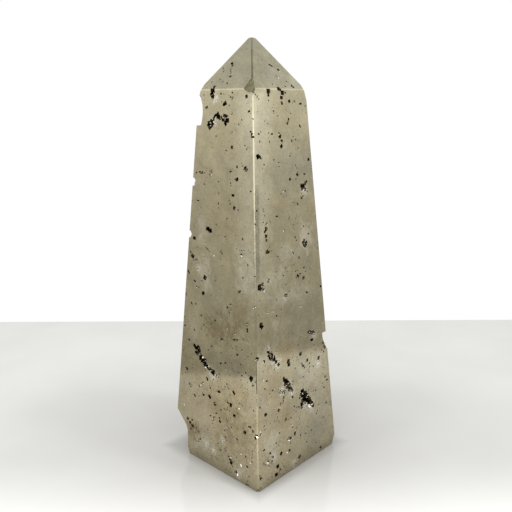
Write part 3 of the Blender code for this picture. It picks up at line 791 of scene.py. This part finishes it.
def front_edge(nodes, colour, axes, planes):
    """The edge towards the viewer: pale bands beside it high up, painted as the glow of its reflected
    highlight, a scuffed grey strip, the rounded edge lower down darkened with painted shade to dim its
    highlight, and a painted dark reflection line along the ridge.
    """
    x, y, z = axes
    base, shoulder = (edge_sum(planes, "left", "right", up) for up in (0, SHOULDER_UP))
    edge = nodes.spread(z, 0, SHOULDER_UP * MM, base, shoulder, smooth=False)
    aside = nodes.math("SUBTRACT", nodes.math("ADD", x, y), edge)
    ragged = nodes.math("MULTIPLY_ADD", nodes.noise(1.6, 4, 0.7), 2.0 * MM, -1.0 * MM)
    loose = nodes.math("ADD", aside, ragged)
    in_front = nodes.spread(x, 0.3 * MM, 1.0 * MM)

    def band(value, start, full, full_end, end):
        """1 between full and full_end and 0 beyond start and end, all in millimetres."""
        rise = nodes.spread(value, start * MM, full * MM)
        fall = nodes.spread(value, end * MM, full_end * MM)
        return nodes.math("MULTIPLY", nodes.math("MULTIPLY", rise, fall), in_front)

    def paint(colour, tint, strength, *shares):
        """The tint laid over the colour where all the shares are high."""
        share = strength
        for part in shares:
            share = nodes.math("MULTIPLY", part, share)
        return nodes.mix(share, colour, tint)

    high = band(z, 62, 84, 146, 150)
    # Painted highlight: pale bands on both sides of the edge high up, the glow of its reflected highlight
    colour = paint(colour, (0.86, 0.82, 0.67), 0.62, band(aside, -0.1, 0.4, 2.0, 14), high)
    colour = paint(colour, (0.84, 0.80, 0.66), 0.48, band(aside, -13, -1.0, -0.4, 0.1), high)
    scuff_and_shade_noise = nodes.spread(nodes.noise(0.9, 5, 0.7), 0.40, 0.60)
    scuffs_and_shade = nodes.math("MULTIPLY_ADD", scuff_and_shade_noise, 0.5, 0.5)
    # Painted highlight: a paler strip just right of the edge near the top
    across, along = band(aside, -0.2, 0.3, 0.6, 2.8), band(z, 96, 116, 144, 149)
    colour = paint(colour, (0.92, 0.86, 0.70), 0.6, across, along)
    # Wear: a scuffed grey strip beside the edge
    across, along = band(loose, 0.2, 0.6, 1.9, 2.8), band(z, 76, 88, 112, 119)
    colour = paint(colour, (0.35, 0.335, 0.255), 0.85, across, along, scuffs_and_shade)
    # Painted shade: the rounded edge darkened lower down to dim its reflected highlight, broken up by the
    # scuffs
    across, along = band(aside, -0.6, -0.35, 0.35, 0.6), band(z, 20, 60, 100, 122)
    colour = paint(colour, (0.40, 0.375, 0.30), 0.65, across, along, scuffs_and_shade)
    # Painted reflection: a dark line along the front ridge, where it mirrors the dim room overhead
    across, along = band(aside, -0.32, -0.06, 0.06, 0.32), band(z, 149, 152, 156, 172)
    colour = paint(colour, (0.16, 0.14, 0.08), 0.7, across, along)
    return colour


def polished_pyrite(planes):
    """Polished pyrite: a soft metal mirror, mottled grey and tan, flecked with specks and tiny pores, with
    painted highlights and painted shade in its colour.
    """
    nodes = Nodes("polished pyrite")
    large = nodes.noise(26, 3, 0.55, 0.4)
    middle = nodes.noise(6, 4, 0.6, 0.6)
    fine = nodes.noise(1.1, 4, 0.65)
    grain = nodes.cells(0.55).outputs["Color"]

    colour = nodes.mix(nodes.spread(large, 0.29, 0.50), GREY_BRASS, TAN_BRASS)
    ragged = nodes.math("MULTIPLY_ADD", nodes.noise(4.0, 6, 0.75, 1.2), 5.0, -2.5)
    for side, across, up, half_width, half_height, kind, strength in STAINS:
        share = stain_share(nodes, planes, side, across, up, half_width, half_height, ragged)
        colour = nodes.mix(nodes.math("MULTIPLY", share, strength), colour, STAIN_COLOURS[kind])

    # Crusts of bright crystals at the rims of the hollows, painted near white as their sparkle: partly real
    # crystals, partly a painted highlight
    speckled = nodes.math("MULTIPLY_ADD", nodes.noise(0.45, 3, 0.6), 9.0, -4.5)
    for side, across, up, reach in SPARKLES:
        reach = reach * CRUST_REACH
        share = stain_share(nodes, planes, side, across, up, reach, reach, speckled)
        colour = nodes.mix(nodes.math("MULTIPLY", share, 0.85), colour, CRUST_SPARKLE)

    axes = nodes.axes()
    z = axes[2]
    colour = front_edge(nodes, colour, axes, planes)

    # Mottling and grain
    shade = nodes.math("MULTIPLY_ADD", middle, 0.62, 0.69)
    shade = nodes.math("MULTIPLY", shade, nodes.math("MULTIPLY_ADD", fine, 0.32, 0.84))
    shade = nodes.math("MULTIPLY", shade, nodes.math("MULTIPLY_ADD", nodes.red(grain), 0.14, 0.93))
    colour = nodes.mix(1.0, colour, nodes.grey(shade), "MULTIPLY")

    # Pores too small to cut, most of them low down, drawn as dark specks: painted shade in tiny holes
    low = nodes.spread(z, 62 * MM, 30 * MM)
    pores = nodes.cells(0.8)
    radius = nodes.spread(nodes.red(pores.outputs["Color"]), 0.55, 1.0, 0.0, 0.36, smooth=False)
    crowd = nodes.math("MULTIPLY_ADD", low, 0.4, nodes.spread(nodes.noise(9, 2), 0.35, 0.62, 0.45, 0.8))
    radius = nodes.math("MULTIPLY", radius, crowd)
    pore = nodes.spread(pores.outputs["Distance"], radius, nodes.math("MULTIPLY", radius, 0.6))
    colour = nodes.mix(nodes.math("MULTIPLY", pore, 0.75), colour, PORE_SHADE)

    # Browner and duller towards the base: partly a browner tone, partly painted shade; darker still at the
    # foot, a painted shadow
    colour = nodes.mix(nodes.math("MULTIPLY", low, 0.8), colour, LOW_TINT_AND_SHADE, "MULTIPLY")
    # Painted shadow along the foot of the stone
    foot = nodes.spread(z, 9 * MM, 0.5 * MM, 0.0, 0.25)
    colour = nodes.mix(foot, colour, LOW_TINT_AND_SHADE, "MULTIPLY")

    rough = nodes.spread(middle, 0.3, 0.7, 0.085, 0.13)
    rough = nodes.math("MAXIMUM", rough, nodes.math("MULTIPLY", pore, 0.6))
    wave = nodes.bump(nodes.noise(13, 2, 0.5), 0.03 * MM)
    relief = nodes.math("SUBTRACT", nodes.math("MULTIPLY", fine, 0.12), pore)
    surface = nodes.bump(relief, 0.02 * MM, 0.6, wave)
    return nodes.finish(base_color=colour, metallic=1.0, roughness=rough, normal=surface)


def pit_wall():
    """The walls of the hollows: dull dark pyrite with a crust of minute crystals, darkened further with
    near-black painted shade.
    """
    nodes = Nodes("pit wall")
    facets = nodes.cells(0.35)
    tone = nodes.red(facets.outputs["Color"])
    colour = nodes.mix(nodes.spread(tone, 0.40, 0.95), PIT_SHADE, (0.32, 0.275, 0.175))
    rough = nodes.spread(tone, 0.3, 0.9, 0.55, 0.22)
    surface = nodes.bump(tone, 0.05 * MM)
    return nodes.finish(base_color=colour, metallic=1.0, roughness=rough, normal=surface)


def deep_hollow_shade():
    """The insides of the deeper hollows, almost black: painted shade of the deep hollows."""
    nodes = Nodes("deep wall")
    tone = nodes.red(nodes.cells(0.5).outputs["Color"])
    colour = nodes.mix(nodes.spread(tone, 0.6, 1.0), (0.016, 0.012, 0.008), (0.11, 0.085, 0.05))
    return nodes.finish(base_color=colour, metallic=1.0, roughness=nodes.spread(tone, 0.3, 0.9, 0.7, 0.4))


def crystal_face():
    """Clean crystal faces, bright wherever one catches the light."""
    nodes = Nodes("crystal face")
    tone = nodes.noise(1.2, 2)
    colour = nodes.mix(nodes.spread(tone, 0.35, 0.6), (0.26, 0.22, 0.14), (0.84, 0.81, 0.70))
    return nodes.finish(base_color=colour, metallic=1.0, roughness=nodes.spread(tone, 0.3, 0.7, 0.1, 0.25))


def glint_face():
    """A painted highlight: up-turned lower walls of small pits, and crystal faces where the crystals
    sparkle, coloured bright.
    """
    nodes = Nodes("glint face")
    tone = nodes.noise(0.6, 2)
    colour = nodes.mix(nodes.spread(tone, 0.4, 0.6), (0.72, 0.68, 0.56), (0.94, 0.93, 0.88))
    return nodes.finish(base_color=colour, metallic=1.0, roughness=nodes.spread(tone, 0.3, 0.7, 0.2, 0.35))


def broken_face():
    """Old broken surfaces, rubbed but never polished."""
    nodes = Nodes("broken face")
    tone = nodes.noise(2.2, 4, 0.65)
    colour = nodes.mix(nodes.spread(tone, 0.35, 0.65), (0.27, 0.25, 0.17), (0.40, 0.37, 0.27))
    dark = nodes.spread(nodes.axes()[2], 147.6 * MM, 148.2 * MM)
    colour = nodes.mix(dark, colour, (0.39, 0.39, 0.33), "MULTIPLY")
    surface = nodes.bump(nodes.noise(1.4, 3, 0.55), 0.06 * MM)
    rough = nodes.spread(tone, 0.3, 0.7, 0.42, 0.3)
    return nodes.finish(base_color=colour, metallic=1.0, roughness=rough, normal=surface)


# The stone

def make_stone():
    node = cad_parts["obelisk"]
    planes = main_planes(node.data)
    form = worn_form(node.data, planes)
    rng = random.Random(SEED)
    stone = new_object("pyrite_stone", node.data.copy())
    stone.data.materials.clear()
    tidy_body(stone, weld=True)
    carve(stone, "DIFFERENCE", noted_pits(rng, planes) + sprinkled_pits(rng, planes) + crease(planes))
    tidy_body(stone)
    cubes = grown_crystals(rng, stone, form, planes)
    carve(stone, "UNION", cubes)
    tidy_body(stone)
    kinds = kinds_of_face(stone, form, planes, cubes)
    stone.data.materials.clear()
    stone.data.materials.append(polished_pyrite(planes))
    for made in (pit_wall(), crystal_face(), broken_face(), glint_face(), deep_hollow_shade()):
        stone.data.materials.append(made)
    stone.data.polygons.foreach_set("material_index", kinds.astype(np.int32))
    set_normals(stone, kinds, planes)
    print("pyrite_stone:", len(stone.data.polygons), "triangles")  # about 49,000 if the crystals were lost
    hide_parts("obelisk")
    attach(stone, "root")


# Slab, room and lights

def make_slab():
    """A plain pale polished slab, with its edges where they reflect in the stone's sides."""
    right, forward = axes_of_view()
    shape = bmesh.new()
    top = [shape.verts.new(right * across + forward * along) for across, along in SLAB_OUTLINE]
    face = shape.faces.new(top)
    made = bmesh.ops.extrude_face_region(shape, geom=[face])
    lower = [item for item in made["geom"] if isinstance(item, bmesh.types.BMVert)]
    bmesh.ops.translate(shape, verts=lower, vec=(0, 0, -SLAB_THICK))
    bmesh.ops.recalc_face_normals(shape, faces=shape.faces)
    mesh = bpy.data.meshes.new("slab")
    shape.to_mesh(mesh)
    shape.free()
    slab = new_object("slab", mesh)
    nodes = Nodes("slab")
    tone = nodes.noise(60, 3)
    colour = nodes.mix(nodes.spread(tone, 0.3, 0.7), (0.555, 0.555, 0.55), (0.59, 0.59, 0.585))

    # Painted shade round the stone, painted light paler towards the viewer, and a painted contact shadow
    # darkest where the two touch
    out = nodes.vector("LENGTH", nodes.place)
    colour = nodes.mix(nodes.spread(out, 0.025, 0.15, 0.45, 0.0), colour, (0.42, 0.415, 0.40))
    near = nodes.vector("DOT_PRODUCT", nodes.place, tuple(-forward))
    colour = nodes.mix(nodes.spread(near, 0.005, 0.085, 0.0, 1.0), colour, (0.95, 0.95, 0.94))
    x, y = (nodes.math("ABSOLUTE", axis) for axis in nodes.axes()[:2])
    # Painted contact shadow hugging the stone's base
    shadow = nodes.spread(nodes.math("MAXIMUM", x, y), 0.0245, 0.0305, 0.45, 0.0)
    colour = nodes.mix(shadow, colour, (0.20, 0.195, 0.18))
    mesh.materials.append(nodes.finish(base_color=colour, roughness=0.12))


# The room as the stone mirrors it, by the sine of the elevation: dim low down, a bright band above
ROOM = [
    (-1.0, (0.26, 0.25, 0.23)), (-0.32, (0.44, 0.425, 0.365)), (-0.21, (0.45, 0.435, 0.375)),
    (-0.12, (0.51, 0.495, 0.43)), (0.0, (0.59, 0.575, 0.51)), (0.10, (0.80, 0.79, 0.72)),
    (0.30, (0.90, 0.89, 0.82)), (0.43, (1.12, 1.12, 1.06)), (0.56, (0.98, 0.99, 0.95)),
    (0.65, (0.64, 0.65, 0.62)), (0.74, (0.60, 0.61, 0.58)), (0.84, (0.50, 0.50, 0.48)),
    (1.0, (0.46, 0.46, 0.44)),
]
BEHIND_CAMERA = (1.40, 1.36, 1.24)
CEILING_LIGHTS = (1.05, 1.05, 1.02)
FAR_END = (0.12, 0.12, 0.11)
SOFT_LIGHT = (1.15, 1.15, 1.135)  # what falls on rough surfaces, such as the slab


def make_room():
    """White to the camera, an even light on the slab, and a warm room for the stone to mirror."""
    nodes = Nodes.of_world("room")
    direction = nodes.add("ShaderNodeTexCoord").outputs["Generated"]
    height = nodes.axes(direction)[2]
    ramp = nodes.add("ShaderNodeValToRGB")
    nodes.put(ramp.inputs[0], nodes.math("MULTIPLY_ADD", height, 0.5, 0.5))
    stops = ramp.color_ramp.elements
    stops.remove(stops[1])
    for number, (sine, colour) in enumerate(ROOM):
        stop = stops[0] if number == 0 else stops.new((sine + 1) / 2)
        stop.position = (sine + 1) / 2
        stop.color = (*colour, 1)

    # A bright wall behind the camera, lights above before and behind, and a dark far end
    _, forward = axes_of_view()
    behind = nodes.vector("DOT_PRODUCT", direction, tuple(-forward))
    share = nodes.math("MULTIPLY", nodes.spread(behind, 0.55, 0.92), nodes.spread(height, -0.16, 0.04))
    share = nodes.math("MULTIPLY", share, nodes.spread(height, 0.40, 0.28))
    seen = nodes.mix(share, ramp.outputs[0], BEHIND_CAMERA)
    beside = nodes.spread(nodes.math("ABSOLUTE", behind), 0.44, 0.60)
    lit = nodes.math("MULTIPLY", beside, nodes.spread(height, 0.50, 0.62))
    seen = nodes.mix(lit, seen, CEILING_LIGHTS)
    beyond = nodes.spread(behind, -0.2, -0.5, 0.0, 0.5)
    beyond = nodes.math("MULTIPLY", beyond, nodes.spread(height, 0.40, 0.15))
    seen = nodes.mix(beyond, seen, FAR_END)

    ray = nodes.add("ShaderNodeLightPath")
    seen = nodes.mix(ray.outputs["Is Diffuse Ray"], seen, SOFT_LIGHT)
    glow = nodes.add("ShaderNodeBackground")
    nodes.put(glow.inputs["Color"], nodes.mix(ray.outputs["Is Camera Ray"], seen, (1, 1, 1)))
    nodes.put(nodes.add("ShaderNodeOutputWorld").inputs[0], glow.outputs[0])


PANELS_AIM_AT = 0.08  # the height on the stone's axis


def add_panel(name, right_mm, forward_mm, up_mm, width, height, power):
    """A soft light panel, placed along the camera's right and forward, that faces the stone."""
    right, forward = axes_of_view()
    data = bpy.data.lights.new(name, "AREA")
    data.shape = "RECTANGLE"
    data.size, data.size_y = width, height
    data.energy = power
    panel = bpy.data.objects.new(name, data)
    place = right * right_mm * MM + forward * forward_mm * MM + Vector((0, 0, up_mm * MM))
    aim = Vector((0, 0, PANELS_AIM_AT)) - place
    panel.matrix_world = Matrix.Translation(place) @ aim.to_track_quat("-Z", "Y").to_matrix().to_4x4()
    bpy.context.collection.objects.link(panel)


make_camera()
make_stone()
make_slab()
make_room()
add_panel("window", -300, -700, 900, 0.5, 0.5, 0.8)
add_panel("left sparkle", -500, -250, 1100, 0.12, 0.12, 1.8)
add_panel("right sparkle", 550, -200, 1000, 0.12, 0.12, 1.8)
bpy.context.scene.view_settings.view_transform = "Standard"
